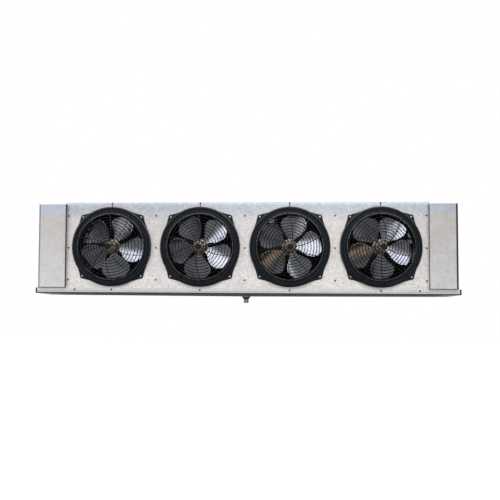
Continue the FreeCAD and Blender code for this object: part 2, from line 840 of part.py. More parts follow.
def pan_leaves():
    y, z = pan_axis()
    leaves = []
    for x in pan_hinge_places:
        x0 = x + gap
        knuckle = rod(knuckle_radius, (x0, y, z), (1, 0, 0), knuckle_length)
        leaf = box(x0, x0 + knuckle_length, pan_rear, pan_rear + leaf_sheet, z - leaf_width, z)
        low = z - knuckle_radius
        bridge = box(x0, x0 + knuckle_length, pan_rear, y, low, low + leaf_sheet)
        bore = rod(pin_radius + pin_clearance, (x0 - 1, y, z), (1, 0, 0), knuckle_length + 2)
        leaves.append(knuckle.fuse(leaf).fuse(bridge).cut(bore).removeSplitter())
    return leaves


# Screws

def panel_screws():
    heads = []
    for x in bay_xs:
        for row in (row_top, row_middle, row_bottom):
            heads.append(hex_head(x, fan_z + row, front))
    return heads


def lip_screws():
    return [hex_head(x, -lip_height / 2, front - sheet) for x in fan_xs]


def ear_screws():
    heads = []
    for x in fan_xs:
        for sx in (-1, 1):
            for sz in (-1, 1):
                heads.append(hex_head(x + sx * ear, fan_z + sz * ear, front - ring_plate))
    return heads


def pan_screws():
    ends = bay_xs[-1] - pan_screw_inset
    return [hex_head(x, pan_top - pan_screw_drop, pan_front) for x in [-ends] + fan_xs + [ends]]


os.makedirs("parts", exist_ok=True)
save("front_panel", [front_panel()])
save("top_panel", [top_panel()])
save("right_end_plate", [end_plate()])
save("left_end_plate", [mirrored(end_plate())])
for n, bay_x in enumerate(bay_xs[1:-1]):
    save("bay_divider_%d" % (n + 1), [divider(bay_x)])
save("right_hanger_rail", [hanger_rail()])
save("left_hanger_rail", [mirrored(hanger_rail())])
save("upper_coil_rail", [upper_coil_rail()])
save("lower_coil_rail", [lower_coil_rail()])
save("right_rear_plate", [right_rear_plate()])
save("left_rear_plate", [left_rear_plate()])
save("coil_fins", coil_fins())
save("coil_tubes", coil_tubes())
save("return_bends", return_bends())
save("suction_header", [suction_header()])
save("liquid_distributor", [distributor()])
save("feeder_tubes", feeder_tubes())
save("line_grommets", [grommet(x, z, r) for x, z, r in line_places()])
save("junction_box", [junction_box()])
save("junction_box_lid", [junction_box_lid()])
ring = fan_ring()
guard = fan_guard()
wheel = fan_wheel()
for n, fan_x in enumerate(fan_xs):
    label = "fan_%d_" % (n + 1)
    save(label + "ring", [ring.translated(V(fan_x, 0, 0))])
    save(label + "guard", [guard.translated(V(fan_x, 0, 0))])
    save(label + "wheel", [placed_wheel(wheel, n)])
    save(label + "shaft", [fan_shaft(fan_x)])
    save(label + "motor", [fan_motor(fan_x)])
    save(label + "motor_bar", [motor_bar(n)])
save("right_cover", [right_cover()])
save("left_cover", [mirrored(right_cover())])
save("right_cover_leaves", cover_leaves())
save("left_cover_leaves", [mirrored(leaf) for leaf in cover_leaves()])
save("right_cover_hinges", fixed_cover_hinges())
save("left_cover_hinges", [mirrored(hinge) for hinge in fixed_cover_hinges()])
save("drain_pan", [drain_pan()])
save("drain_fitting", [drain_fitting()])
save("pan_leaves", pan_leaves())
save("pan_hinges", fixed_pan_hinges())
save("panel_screws", panel_screws())
save("lip_screws", lip_screws())
save("ear_screws", ear_screws())
save("pan_screws", pan_screws())
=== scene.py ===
import bpy
import json
import math
from mathutils import Matrix, Vector

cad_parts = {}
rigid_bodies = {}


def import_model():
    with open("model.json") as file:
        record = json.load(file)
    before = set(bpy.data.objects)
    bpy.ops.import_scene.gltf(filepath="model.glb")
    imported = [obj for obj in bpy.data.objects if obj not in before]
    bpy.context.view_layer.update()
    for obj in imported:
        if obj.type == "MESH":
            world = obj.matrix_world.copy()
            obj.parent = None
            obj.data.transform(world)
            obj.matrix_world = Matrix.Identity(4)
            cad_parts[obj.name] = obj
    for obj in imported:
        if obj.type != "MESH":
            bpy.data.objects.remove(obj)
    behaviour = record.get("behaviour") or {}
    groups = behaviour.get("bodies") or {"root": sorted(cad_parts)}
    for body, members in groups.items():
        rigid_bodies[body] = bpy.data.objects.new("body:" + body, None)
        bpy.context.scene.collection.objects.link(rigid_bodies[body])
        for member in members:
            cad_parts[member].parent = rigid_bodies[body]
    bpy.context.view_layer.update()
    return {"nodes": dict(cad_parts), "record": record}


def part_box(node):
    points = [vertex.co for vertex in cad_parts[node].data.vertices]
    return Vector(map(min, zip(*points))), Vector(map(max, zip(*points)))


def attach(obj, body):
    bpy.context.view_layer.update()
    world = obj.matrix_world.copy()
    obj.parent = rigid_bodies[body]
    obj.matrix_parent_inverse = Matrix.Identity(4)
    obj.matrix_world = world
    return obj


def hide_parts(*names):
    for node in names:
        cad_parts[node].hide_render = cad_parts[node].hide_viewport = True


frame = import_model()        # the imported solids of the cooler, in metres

nodes = frame["nodes"]
print("solids loaded:", len(nodes))

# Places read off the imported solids
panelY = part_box("front_panel")[0].y
fanCount = 4
shafts = [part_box("fan_%d_shaft" % n) for n in range(1, fanCount + 1)]
fanX = [(low.x + high.x) / 2 for low, high in shafts]
fanZ = (shafts[0][0].z + shafts[0][1].z) / 2
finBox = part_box("coil_fins")


def clearSelection():
    if bpy.context.mode != "OBJECT":
        bpy.ops.object.mode_set(mode="OBJECT")
    bpy.ops.object.select_all(action="DESELECT")


def pick(piece):
    clearSelection()
    piece.select_set(True)
    bpy.context.view_layer.objects.active = piece


def fixPlace(piece):
    pick(piece)
    bpy.ops.object.transform_apply(location=True, rotation=True, scale=True)


def joinAll(pieces, name):
    clearSelection()
    for piece in pieces:
        piece.select_set(True)
    bpy.context.view_layer.objects.active = pieces[0]
    if len(pieces) > 1:
        bpy.ops.object.join()
    pieces[0].name = name
    return pieces[0]


def copyOf(piece, name, move):
    other = piece.copy()
    other.data = piece.data.copy()
    other.name = name
    bpy.context.collection.objects.link(other)
    other.data.transform(move)
    return other


def smooth(piece, degrees):
    pick(piece)
    bpy.ops.object.shade_smooth_by_angle(angle=math.radians(degrees))


def tidyNormals(piece):
    pick(piece)
    bpy.ops.object.mode_set(mode="EDIT")
    bpy.ops.mesh.select_all(action="SELECT")
    bpy.ops.mesh.remove_doubles(threshold=0.00001)
    bpy.ops.mesh.normals_make_consistent(inside=False)
    bpy.ops.object.mode_set(mode="OBJECT")


def addModifier(piece, kind, **settings):
    pick(piece)
    modifier = piece.modifiers.new(kind.lower(), kind)
    for name, value in settings.items():
        setattr(modifier, name, value)
    bpy.ops.object.modifier_apply(modifier=modifier.name)


def roundEdges(piece, width, segments, sharp=30):
    # only edges that turn by more than sharp degrees
    addModifier(piece, "BEVEL", width=width, segments=segments, limit_method="ANGLE",
                angle_limit=math.radians(sharp))


def finishPiece(piece, material, body, slotName, *replaced):
    piece.data.materials.clear()
    piece.data.materials.append(material)
    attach(piece, body)
    if replaced:
        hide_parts(*replaced)


def linear(text):
    # sRGB hex to a linear colour
    parts = [int(text[i:i + 2], 16) / 255 for i in (1, 3, 5)]
    return [p / 12.92 if p <= 0.04045 else ((p + 0.055) / 1.055) ** 2.4 for p in parts] + [1.0]


def addNode(tree, kind, settings=None, links=None):
    # a setting is a socket's value where the node has such a socket, else the node's own property
    node = tree.nodes.new(kind)
    for name, value in (settings or {}).items():
        if isinstance(name, int) or name in node.inputs:
            node.inputs[name].default_value = value
        else:
            setattr(node, name, value)
    for name, socket in (links or {}).items():
        tree.links.new(socket, node.inputs[name])
    return node


def newMaterial(name, colour, metallic, roughness):
    material = bpy.data.materials.new(name)
    material.use_nodes = True
    shader = material.node_tree.nodes["Principled BSDF"]
    shader.inputs["Base Color"].default_value = linear(colour)
    shader.inputs["Metallic"].default_value = metallic
    shader.inputs["Roughness"].default_value = roughness
    return material, material.node_tree, shader


def grimeAndPaintedShade(tree, axes, colour, markColour, limits):
    # darkening in a corner or along an edge, used both for real dust and for painted shade; a limit
    # is an axis and the two places in metres where the darkening starts and where it is full
    share = None
    for axis, start, full in limits:
        ramp = addNode(tree, "ShaderNodeMapRange", {"From Min": start, "From Max": full},
                       {"Value": axes.outputs[axis]}).outputs["Result"]
        if share is None:
            share = ramp
        else:
            share = addNode(tree, "ShaderNodeMath", {"operation": "MULTIPLY"},
                            {0: share, 1: ramp}).outputs[0]
    return addNode(tree, "ShaderNodeMix",
                   {"data_type": "RGBA", "blend_type": "MULTIPLY", 7: linear(markColour)},
                   {0: share, 6: colour}).outputs[2]


# What all the sheets share: pattern values at the dark and light tones, depth of the painted light
# and shade bands by height
sheet = {"tones": (0.25, 0.75), "warp": 0.006, "warpDetail": 2.0, "cloudDetail": 6.0,
         "cloudRoughness": 0.65, "paintedLightDepth": 0.60, "bumpDepth": 0.0004}


def zincSheet(name, look):
    # spangle and cloud are the sizes of the crystals and of the hazy patches
    material, tree, shader = newMaterial(name, look["light"], look["metallic"],
                                         look["roughness"][0])
    place = addNode(tree, "ShaderNodeTexCoord").outputs["Object"]
    # zinc crystals: small cells that each mirror a little differently, under hazy patches
    warp = addNode(tree, "ShaderNodeTexNoise",
                   {"Scale": 1 / look["spangle"], "Detail": sheet["warpDetail"]}, {"Vector": place})
    bent = addNode(tree, "ShaderNodeMix", {"data_type": "RGBA", 0: sheet["warp"]},
                   {6: place, 7: warp.outputs["Color"]})
    cells = addNode(tree, "ShaderNodeTexVoronoi", {"Scale": 1 / look["spangle"]},
                    {"Vector": bent.outputs[2]})
    cellGrey = addNode(tree, "ShaderNodeSeparateColor", {}, {"Color": cells.outputs["Color"]})
    cloud = addNode(tree, "ShaderNodeTexNoise",
                    {"Scale": 1 / look["cloud"], "Detail": sheet["cloudDetail"],
                     "Roughness": sheet["cloudRoughness"]}, {"Vector": place})
    both = addNode(tree, "ShaderNodeMix", {"data_type": "FLOAT", 0: look["cloudShare"]},
                   {2: cellGrey.outputs[0], 3: cloud.outputs["Fac"]})
    tone = addNode(tree, "ShaderNodeValToRGB", {}, {"Fac": both.outputs[0]})
    for i, shade in enumerate(("dark", "light")):
        tone.color_ramp.elements[i].position = sheet["tones"][i]
        tone.color_ramp.elements[i].color = linear(look[shade])
    colour = tone.outputs["Color"]
    axes = addNode(tree, "ShaderNodeSeparateXYZ", {}, {"Vector": place})
    if "paintedLightBands" in look:
        # painted light and shade by height: bluish and darker near the top as painted shade and
        # painted sky reflection, palest at the bottom
        height = addNode(tree, "ShaderNodeMapRange",
                         {"From Min": -sheet["paintedLightDepth"], "From Max": 0.0},
                         {"Value": axes.outputs["Z"]})
        lightBand = addNode(tree, "ShaderNodeValToRGB", {}, {"Fac": height.outputs["Result"]})
        stops = lightBand.color_ramp.elements
        stops.remove(stops[0])
        for i, (z, shade) in enumerate(look["paintedLightBands"]):
            mark = 1 + z / sheet["paintedLightDepth"]
            stop = stops.new(mark) if i else stops[0]
            stop.position = mark
            stop.color = linear(shade)
        colour = addNode(tree, "ShaderNodeMix",
                         {"data_type": "RGBA", "blend_type": "MULTIPLY", 0: 1.0},
                         {6: colour, 7: lightBand.outputs["Color"]}).outputs[2]
    # darkening marks: dust on top of the casing, painted shade on the covers and the pan's hem,
    # darker pan ends
    for markColour, limits in look.get("grimeAndShadeMarks", []):
        colour = grimeAndPaintedShade(tree, axes, colour, markColour, limits)
    tree.links.new(colour, shader.inputs["Base Color"])
    rough = addNode(tree, "ShaderNodeMapRange",
                    {"To Min": look["roughness"][0], "To Max": look["roughness"][1]},
                    {"Value": both.outputs[0]})
    tree.links.new(rough.outputs["Result"], shader.inputs["Roughness"])
    bump = addNode(tree, "ShaderNodeBump",
                   {"Strength": look["bump"], "Distance": sheet["bumpDepth"]},
                   {"Height": cloud.outputs["Fac"]})
    tree.links.new(bump.outputs["Normal"], shader.inputs["Normal"])
    return material


# Hot-dip galvanised steel: dull silver with a fine spangle of zinc crystals and hazy patches,
# and dust on top, with painted light and shade by height
galvanised = zincSheet("galvanisedSteelSheet", {
    "dark": "#CDCAC8", "light": "#EBE8E5", "metallic": 0.75, "roughness": (0.44, 0.58),
    # painted light and shade by height: bluish painted shade near the top, a pale painted highlight
    # along the top lip, palest at the bottom
    "paintedLightBands": [(-0.60, "#FFFFFF"), (-0.50, "#FDFDFD"), (-0.30, "#E9E8E9"), (-0.13, "#E2E1E2"),
              (-0.04, "#C5CDD8"), (-0.02, "#C7CFDA"), (-0.010, "#E1E9F1")],
    "grimeAndShadeMarks": [("#B9B6B2", [("Z", -0.0012, -0.0004)])],
    "spangle": 0.009, "cloud": 0.050, "cloudShare": 0.55, "bump": 0.15})
# The same sheet inside, behind the fans, painted dark grey as painted shade
shadedZinc = zincSheet("shadedGalvanisedSheet", {
    "dark": "#2E2D2C", "light": "#3B3A38", "metallic": 0.2, "roughness": (0.65, 0.80),
    "spangle": 0.006, "cloud": 0.050, "cloudShare": 0.60, "bump": 0.15})
# Mill-finish sheet of the covers: smoother, with painted shade on the inner side walls, along the
# bottom edges and on the outer edges, and painted light and shade by height
millSheet = zincSheet("millFinishSteelSheet", {
    "dark": "#C5C2C1", "light": "#DBD9D8", "metallic": 0.75, "roughness": (0.42, 0.54),
    # painted light and shade by height: bluish painted shade near the top, palest at the bottom
    "paintedLightBands": [(-0.54, "#FFFFFF"), (-0.40, "#EDEEF1"), (-0.20, "#DEDCDB"), (-0.085, "#DAD6D5"),
              (-0.06, "#D0D7E5"), (-0.01, "#CAD3E2")],
    # painted shade: dark inner side walls, a painted shadow along the bottom edges, dark outer
    # rounded edges with a bluish painted reflection on the left
    "grimeAndShadeMarks": [("#5F5055", [("X", -1.1450, -1.1440), ("X", 1.0, 0.9), ("Y", -0.2385, -0.2370)]),
               ("#B8AEAC", [("X", 1.1450, 1.1440), ("X", 0.9, 1.0), ("Y", -0.2385, -0.2370)]),
               ("#7A7276", [("Z", -0.5365, -0.5385)]),
               ("#AFAFD0", [("X", -1.3025, -1.3065), ("Y", -0.205, -0.210)]),
               ("#463C43", [("X", 1.3010, 1.3045), ("Y", -0.205, -0.210)])],
    "spangle": 0.008, "cloud": 0.090, "cloudShare": 0.65, "bump": 0.1})
# Galvanised pan: darker at both ends, painted shade along the hem, with a warm line along the fold
panSheet = zincSheet("galvanisedPanSheet", {
    "dark": "#CBCACB", "light": "#DBDADC", "metallic": 0.75, "roughness": (0.42, 0.56),
    "grimeAndShadeMarks": [("#3C353D", [("X", -1.3270, -1.3300), ("Y", -0.200, -0.207)]),
               ("#3C353D", [("X", 1.3270, 1.3300), ("Y", -0.200, -0.207)]),
               # painted shade along the lowest strip of the front hem, where the underside turns
               # away
               ("#5E5862", [("Z", -0.5690, -0.5710), ("Z", -0.5800, -0.5785)]),
               ("#DCD0C8", [("Z", -0.5600, -0.5610), ("Z", -0.5650, -0.5640)])],
    "spangle": 0.006, "cloud": 0.060, "cloudShare": 0.6, "bump": 0.15})


# What all the other finishes share
surface = {"tones": (0.3, 0.7), "detail": 4.0, "detailRoughness": 0.6, "bumpDepth": 0.0003}


def plainFinish(name, look):
    # grain is the size of the spots in which colour, roughness and height vary together
    material, tree, shader = newMaterial(name, look["colour"], look["metallic"],
                                         look["roughness"][0])
    if "specular" in look:
        shader.inputs["Specular IOR Level"].default_value = look["specular"]
    place = addNode(tree, "ShaderNodeTexCoord").outputs["Object"]
    grain = addNode(tree, "ShaderNodeTexNoise",
                    {"Scale": 1 / look["grain"], "Detail": surface["detail"],
                     "Roughness": surface["detailRoughness"]}, {"Vector": place})
    tone = addNode(tree, "ShaderNodeValToRGB", {}, {"Fac": grain.outputs["Fac"]})
    for i, shade in enumerate(("dark", "colour")):
        tone.color_ramp.elements[i].position = surface["tones"][i]
        tone.color_ramp.elements[i].color = linear(look[shade])
    colour = tone.outputs["Color"]
    # painted shade: the look's main colour stands in for shade, and this colour, the unshaded one,
    # returns towards one end along an axis
    if "unshadedEdge" in look:
        shade, axis, start, full = look["unshadedEdge"]
        axes = addNode(tree, "ShaderNodeSeparateXYZ", {}, {"Vector": place})
        share = addNode(tree, "ShaderNodeMapRange", {"From Min": start, "From Max": full},
                        {"Value": axes.outputs[axis]})
        colour = addNode(tree, "ShaderNodeMix", {"data_type": "RGBA", 7: linear(shade)},
                         {0: share.outputs["Result"], 6: colour}).outputs[2]
    tree.links.new(colour, shader.inputs["Base Color"])
    rough = addNode(tree, "ShaderNodeMapRange",
                    {"To Min": look["roughness"][0], "To Max": look["roughness"][1]},
                    {"Value": grain.outputs["Fac"]})
    tree.links.new(rough.outputs["Result"], shader.inputs["Roughness"])
    bump = addNode(tree, "ShaderNodeBump",
                   {"Strength": look["bump"], "Distance": surface["bumpDepth"]},
                   {"Height": grain.outputs["Fac"]})
    tree.links.new(bump.outputs["Normal"], shader.inputs["Normal"])
    return material


# Moulded glass-filled nylon: satin black with a fine grain, its blue tint a painted reflection of
# cool light
mouldedNylon = plainFinish("mouldedBlackNylon", {
    "colour": "#0B131F", "dark": "#070D17", "metallic": 0.0, "roughness": (0.20, 0.30),
    "specular": 0.20, "grain": 0.004, "bump": 0.10})
# The same nylon in a light brownish grey: a painted highlight along the ring's lip
lipHighlightNylon = plainFinish("paintedHighlightNylon", {
    "colour": "#938A82", "dark": "#4C4849", "metallic": 0.0, "roughness": (0.40, 0.55),
    "specular": 0.3, "grain": 0.030, "bump": 0.10})
# Steel wire dipped in black plastic: smooth, with a dull shine
dippedWire = plainFinish("dippedBlackWire", {
    "colour": "#090B10", "dark": "#06080B", "metallic": 0.0, "roughness": (0.32, 0.44),
    "specular": 0.15, "grain": 0.006, "bump": 0.1})
# Pressed bright aluminium, painted a darker bluish grey as a painted reflection of dark, cool
# surroundings: still mirrors what is bright
pressedAluminium = plainFinish("pressedAluminiumSheet", {
    "colour": "#6D6E73", "dark": "#595A60", "metallic": 1.0, "roughness": (0.20, 0.28),
    "grain": 0.020, "bump": 0.1})
# Yellow-passivated pressed steel of the spiders: faded bronze tint
passivatedSteel = plainFinish("passivatedSteel", {
    "colour": "#7D7167", "dark": "#554C46", "metallic": 0.9, "roughness": (0.36, 0.50),
    "grain": 0.008, "bump": 0.15})
# Rolled fin stock, painted dark as painted shade behind the fans, in its own pale colour along the
# back edge
shadedFins = plainFinish("shadedRolledFinStock", {
    "colour": "#2E3032", "dark": "#232527", "metallic": 0.3, "roughness": (0.55, 0.70),
    "grain": 0.030, "bump": 0.1,
    "unshadedEdge": ("#B4B7BA", "Y", finBox[1].y - 0.030, finBox[1].y - 0.006)})
# Drawn copper tube: smooth, browned by air in soft patches
drawnCopper = plainFinish("drawnCopperTube", {
    "colour": "#B87B55", "dark": "#8A5338", "metallic": 1.0, "roughness": (0.26, 0.42),
    "grain": 0.025, "bump": 0.1})
# Turned brass: warm yellow, a little tarnished
turnedBrass = plainFinish("turnedBrass", {
    "colour": "#C2A162", "dark": "#9C7D43", "metallic": 1.0, "roughness": (0.24, 0.36),
    "grain": 0.010, "bump": 0.05})
# Zinc-plated steel of ear screws, bosses, shafts and hinges: cool and bright
zincPlate = plainFinish("zincPlatedSteel", {
    "colour": "#A9ADB1", "dark": "#84888C", "metallic": 1.0, "roughness": (0.28, 0.42),
    "grain": 0.004, "bump": 0.1})
# The other screws have gone dark grey in the cold room's damp
wornZinc = plainFinish("wornZincPlate", {
    "colour": "#55595D", "dark": "#383B3E", "metallic": 0.9, "roughness": (0.40, 0.55),
    "grain": 0.004, "bump": 0.15})
# Moulded rubber of the grommets: dull black
mouldedRubber = plainFinish("mouldedRubber", {
    "colour": "#1B1B1C", "dark": "#131314", "metallic": 0.0, "roughness": (0.60, 0.75),
    "specular": 0.3, "grain": 0.003, "bump": 0.2})
# Baked enamel on the motor shells: smooth black with a soft shine
bakedEnamel = plainFinish("bakedBlackEnamel", {
    "colour": "#1D1E20", "dark": "#151617", "metallic": 0.0, "roughness": (0.30, 0.42),
    "specular": 0.4, "grain": 0.012, "bump": 0.15})

slotLooks = {
    "galvanised": galvanised, "cover_sheet": millSheet, "pan_sheet": panSheet,
    "aluminium_fin": shadedFins, "copper": drawnCopper, "brass": turnedBrass,
    "rubber": mouldedRubber, "black_ring": mouldedNylon, "black_wire": dippedWire,
    "fan_aluminium": pressedAluminium, "motor_paint": bakedEnamel, "steel": zincPlate}
for part in frame["record"]["subparts"]:
    # motor bars and bay dividers stand in the shade behind the fans and get the painted-shade sheet
    inShade = part["node"].endswith("motor_bar") or part["node"].startswith("bay_divider")
    for slot in nodes[part["node"]].material_slots:
        slot.material = shadedZinc if inShade else slotLooks[part["material_slot"]]
print("materials on the solids")


# Fan guards: round wire, rings every 18 mm on a flat dome, spokes that turn a little on their way
# out. Weld below 1 sinks the spokes into the rings, under and spare place a spoke's two ends
guard = {"height": 0.080, "seat": 0.240, "seatHeight": 0.0236, "wire": 0.0048, "wireFaces": (72, 6),
         "first": 0.035, "rings": 12, "spoke": 0.0048, "spokeSides": 8, "spokes": 10, "sweep": 24.0,
         "spokeSteps": 14, "under": 0.004, "spare": 0.002, "weld": 0.9, "disc": 0.0185,
         "discThick": 0.004, "discSides": 40, "discRound": 0.0012}


def domePoint(r, turn, x, back):
    rise = guard["height"] - guard["seatHeight"]
    ball = (guard["seat"] ** 2 + rise ** 2) / (2 * rise)
    h = guard["height"] - ball + math.sqrt(ball ** 2 - r ** 2) - back
    return Vector((x + r * math.cos(turn), panelY - h, fanZ + r * math.sin(turn)))


def makeSpoke():
    behind = (guard["wire"] + guard["spoke"]) / 2 * guard["weld"]
    length = guard["seat"] - guard["disc"] + guard["spare"]
    radii = [guard["disc"] - guard["under"] + length * i / guard["spokeSteps"]
             for i in range(guard["spokeSteps"] + 1)]
    points = [domePoint(r, math.radians(guard["sweep"]) * (r / guard["seat"]), 0, behind)
              for r in radii]
    along = (points[1] - points[0]).to_track_quat("Z", "Y").to_euler()
    clearSelection()
    bpy.ops.mesh.primitive_circle_add(vertices=guard["spokeSides"], radius=guard["spoke"] / 2,
                                      fill_type="NGON", location=points[0], rotation=along)
    spoke = bpy.context.object
    fixPlace(spoke)
    bpy.ops.object.mode_set(mode="EDIT")
    bpy.ops.mesh.select_all(action="SELECT")
    for a, b in zip(points, points[1:]):
        bpy.ops.mesh.extrude_region_move(TRANSFORM_OT_translate={"value": b - a})
    bpy.ops.object.mode_set(mode="OBJECT")
    tidyNormals(spoke)
    return spoke


def makeGuard(x):
    wires = []
    for i in range(guard["rings"]):
        last = guard["seat"] - guard["wire"] / 2
        radius = guard["first"] + (last - guard["first"]) * i / (guard["rings"] - 1)
        clearSelection()
        bpy.ops.mesh.primitive_torus_add(location=(x, domePoint(radius, 0, x, 0).y, fanZ),
                                         rotation=(math.pi / 2, 0, 0), major_radius=radius,
                                         minor_radius=guard["wire"] / 2,
                                         major_segments=guard["wireFaces"][0],
                                         minor_segments=guard["wireFaces"][1])
        wires.append(bpy.context.object)
    spoke = makeSpoke()
    for i in range(guard["spokes"]):
        turn = Matrix.Rotation(-2 * math.pi * i / guard["spokes"], 4, "Y")
        wires.append(copyOf(spoke, "spoke", Matrix.Translation((x, 0, fanZ)) @ turn
                            @ Matrix.Translation((0, 0, -fanZ))))
    bpy.data.objects.remove(spoke)
    clearSelection()
    front = panelY - guard["height"] + guard["discThick"] / 2
    bpy.ops.mesh.primitive_cylinder_add(vertices=guard["discSides"], radius=guard["disc"],
                                        depth=guard["discThick"], location=(x, front, fanZ),
                                        rotation=(math.pi / 2, 0, 0))
    disc = bpy.context.object
    fixPlace(disc)
    roundEdges(disc, guard["discRound"], 3)
    wires.append(disc)
    for wire in wires:
        fixPlace(wire)
    return joinAll(wires, "guard_1_wires")


firstGuard = makeGuard(fanX[0])
smooth(firstGuard, 60)
for n in range(fanCount):
    move = Matrix.Translation((fanX[n] - fanX[0], 0, 0))
    wires = firstGuard if n == 0 else copyOf(firstGuard, "guard_%d_wires" % (n + 1), move)
    finishPiece(wires, dippedWire, "cabinet", "black_wire", "fan_%d_guard" % (n + 1))
print("guards made")


# Moulded fan rings: eared rim, tall outer wall, dished face and a lip that rolls into the throat.
# A corner of the section is radius, height before the panel and rounding
ring = {"rim": 0.253, "plate": 0.0040, "ear": 0.188, "earRadius": 0.0150, "earSteps": 12,
        "blend": 0.400, "blendSteps": 8, "rimSteps": 16, "rimInner": 0.2455, "rimRound": 0.0012,
        "turns": 144, "arcSteps": 5, "lip": 0.2090, "lipHeight": 0.0222, "lipBead": 0.0011,
        "lipFaces": 8,
        "section": [(0.2075, -0.0400, 0.0004), (0.2050, -0.0400, 0.0008), (0.2050, 0.0225, 0.0020),
                    (0.2112, 0.0225, 0.0020), (0.2135, 0.0180, 0.0030), (0.2350, 0.0160, 0.0080),
                    (0.2415, 0.0212, 0.0050), (0.2525, 0.0200, 0.0050), (0.2525, 0.0020, 0.0008),
                    (0.2455, 0.0020, 0.0), (0.2440, 0.0165, 0.0020), (0.2380, 0.0140, 0.0020),
                    (0.2120, 0.0140, 0.0020), (0.2075, 0.0100, 0.0020)]}


def onCircle(turn, radius):
    return Vector((math.cos(turn), math.sin(turn))) * radius


def roundedPath(corners, steps):
    path = []
    for i, (x, y, radius) in enumerate(corners):
        here = Vector((x, y))
        if radius == 0:
            path.append(here)
            continue
        toLast = (Vector(corners[i - 1][:2]) - here).normalized()
        toNext = (Vector(corners[(i + 1) % len(corners)][:2]) - here).normalized()
        half = toLast.angle(toNext) / 2
        middle = here + (toLast + toNext).normalized() * (radius / math.sin(half))
        first = here + toLast * (radius / math.tan(half)) - middle
        last = here + toNext * (radius / math.tan(half)) - middle
        start = math.atan2(first.y, first.x)
        sweep = math.remainder(math.atan2(last.y, last.x) - start, 2 * math.pi)
        path += [middle + onCircle(start + sweep * k / steps, radius) for k in range(steps + 1)]
    return path


def closedLoop(places, name):
    clearSelection()
    bpy.ops.mesh.primitive_circle_add(vertices=len(places), radius=1)
    loop = bpy.context.object
    loop.name = name
    for vertex, place in zip(loop.data.vertices, places):
        vertex.co = place
    return loop


def spun(path, centre, turns, name):
    # path: radius and distance towards the viewer, closed, turned about the fan's axis
    piece = closedLoop([Vector((centre.x + q.x, centre.y - q.y, centre.z)) for q in path], name)
    pick(piece)
    bpy.ops.object.mode_set(mode="EDIT")
    bpy.ops.mesh.select_all(action="SELECT")
    bpy.ops.mesh.spin(steps=turns, angle=2 * math.pi, center=centre, axis=(0, 1, 0))
    bpy.ops.object.mode_set(mode="OBJECT")
    tidyNormals(piece)
    return piece


def earPoints():
    # outline of the rim seen from the front, counter-clockwise, with the four ears
    fullTurn = 2 * math.pi
    reach = math.hypot(ring["ear"], ring["ear"])
    a = ring["rim"] + ring["blend"]
    b = ring["earRadius"] + ring["blend"]
    spread = math.acos((a * a + reach * reach - b * b) / (2 * a * reach))
    points = []

    def sweepArc(centre, radius, start, turn, steps):
        points.extend(centre + onCircle(start + turn * k / steps, radius) for k in range(steps))

    for i in range(4):
        mid = math.radians(45 + 90 * i)
        ear = onCircle(mid, reach)
        before = onCircle(mid - spread, a)
        after = onCircle(mid + spread, a)
        enter = math.atan2((ear - before).y, (ear - before).x)
        leave = math.atan2((after - ear).y, (after - ear).x)
        start = mid - spread + math.pi
        end = mid + spread + math.pi
        sweepArc(before, ring["blend"], start, math.remainder(enter - start, fullTurn),
                 ring["blendSteps"])
        sweepArc(ear, ring["earRadius"], enter + math.pi,
                 math.remainder(leave - enter - math.pi, fullTurn) % fullTurn, ring["earSteps"])
        sweepArc(after, ring["blend"], leave + math.pi,
                 math.remainder(end - leave - math.pi, fullTurn), ring["blendSteps"])
        sweepArc(Vector((0, 0)), ring["rim"], mid + spread, math.pi / 2 - 2 * spread,
                 ring["rimSteps"])
    return points


def makeRing(x):
    centre = Vector((x, panelY, fanZ))
    path = roundedPath(ring["section"], ring["arcSteps"])
    body = spun(path, centre, ring["turns"], "ring_body")
    outline = earPoints()
    front = panelY - ring["plate"]
    outer = closedLoop([Vector((x + q.x, front, fanZ + q.y)) for q in outline], "rim_outer")
    inner = closedLoop([Vector((x, front, fanZ))
                        + Vector((q.x, 0, q.y)).normalized() * ring["rimInner"]
                        for q in outline], "rim_inner")
    rim = joinAll([outer, inner], "rim")
    bpy.ops.object.mode_set(mode="EDIT")
    bpy.ops.mesh.select_all(action="SELECT")
    bpy.ops.mesh.bridge_edge_loops()
    bpy.ops.mesh.select_all(action="SELECT")
    bpy.ops.mesh.extrude_region_move(TRANSFORM_OT_translate={"value": (0, ring["plate"], 0)})
    bpy.ops.object.mode_set(mode="OBJECT")
    tidyNormals(rim)
    roundEdges(rim, ring["rimRound"], 3, sharp=50)
    return joinAll([body, rim], "ring_1")


def makeLip(x):
    # fine bead on the crest of the lip, which carries the lip's painted highlight
    clearSelection()
    bpy.ops.mesh.primitive_torus_add(location=(x, panelY - ring["lipHeight"], fanZ),
                                     rotation=(math.pi / 2, 0, 0), major_radius=ring["lip"],
                                     minor_radius=ring["lipBead"], major_segments=ring["turns"],
                                     minor_segments=ring["lipFaces"])
    lip = bpy.context.object
    lip.name = "ring_1_lip"
    fixPlace(lip)
    return lip


firstRing = makeRing(fanX[0])
firstLip = makeLip(fanX[0])
smooth(firstRing, 40)
smooth(firstLip, 60)
for n in range(fanCount):
    move = Matrix.Translation((fanX[n] - fanX[0], 0, 0))
    piece = firstRing if n == 0 else copyOf(firstRing, "ring_%d" % (n + 1), move)
    finishPiece(piece, mouldedNylon, "cabinet", "black_ring", "fan_%d_ring" % (n + 1))
    lip = firstLip if n == 0 else copyOf(firstLip, "ring_%d_lip" % (n + 1), move)
    finishPiece(lip, lipHighlightNylon, "cabinet", "black_ring")
print("rings made")


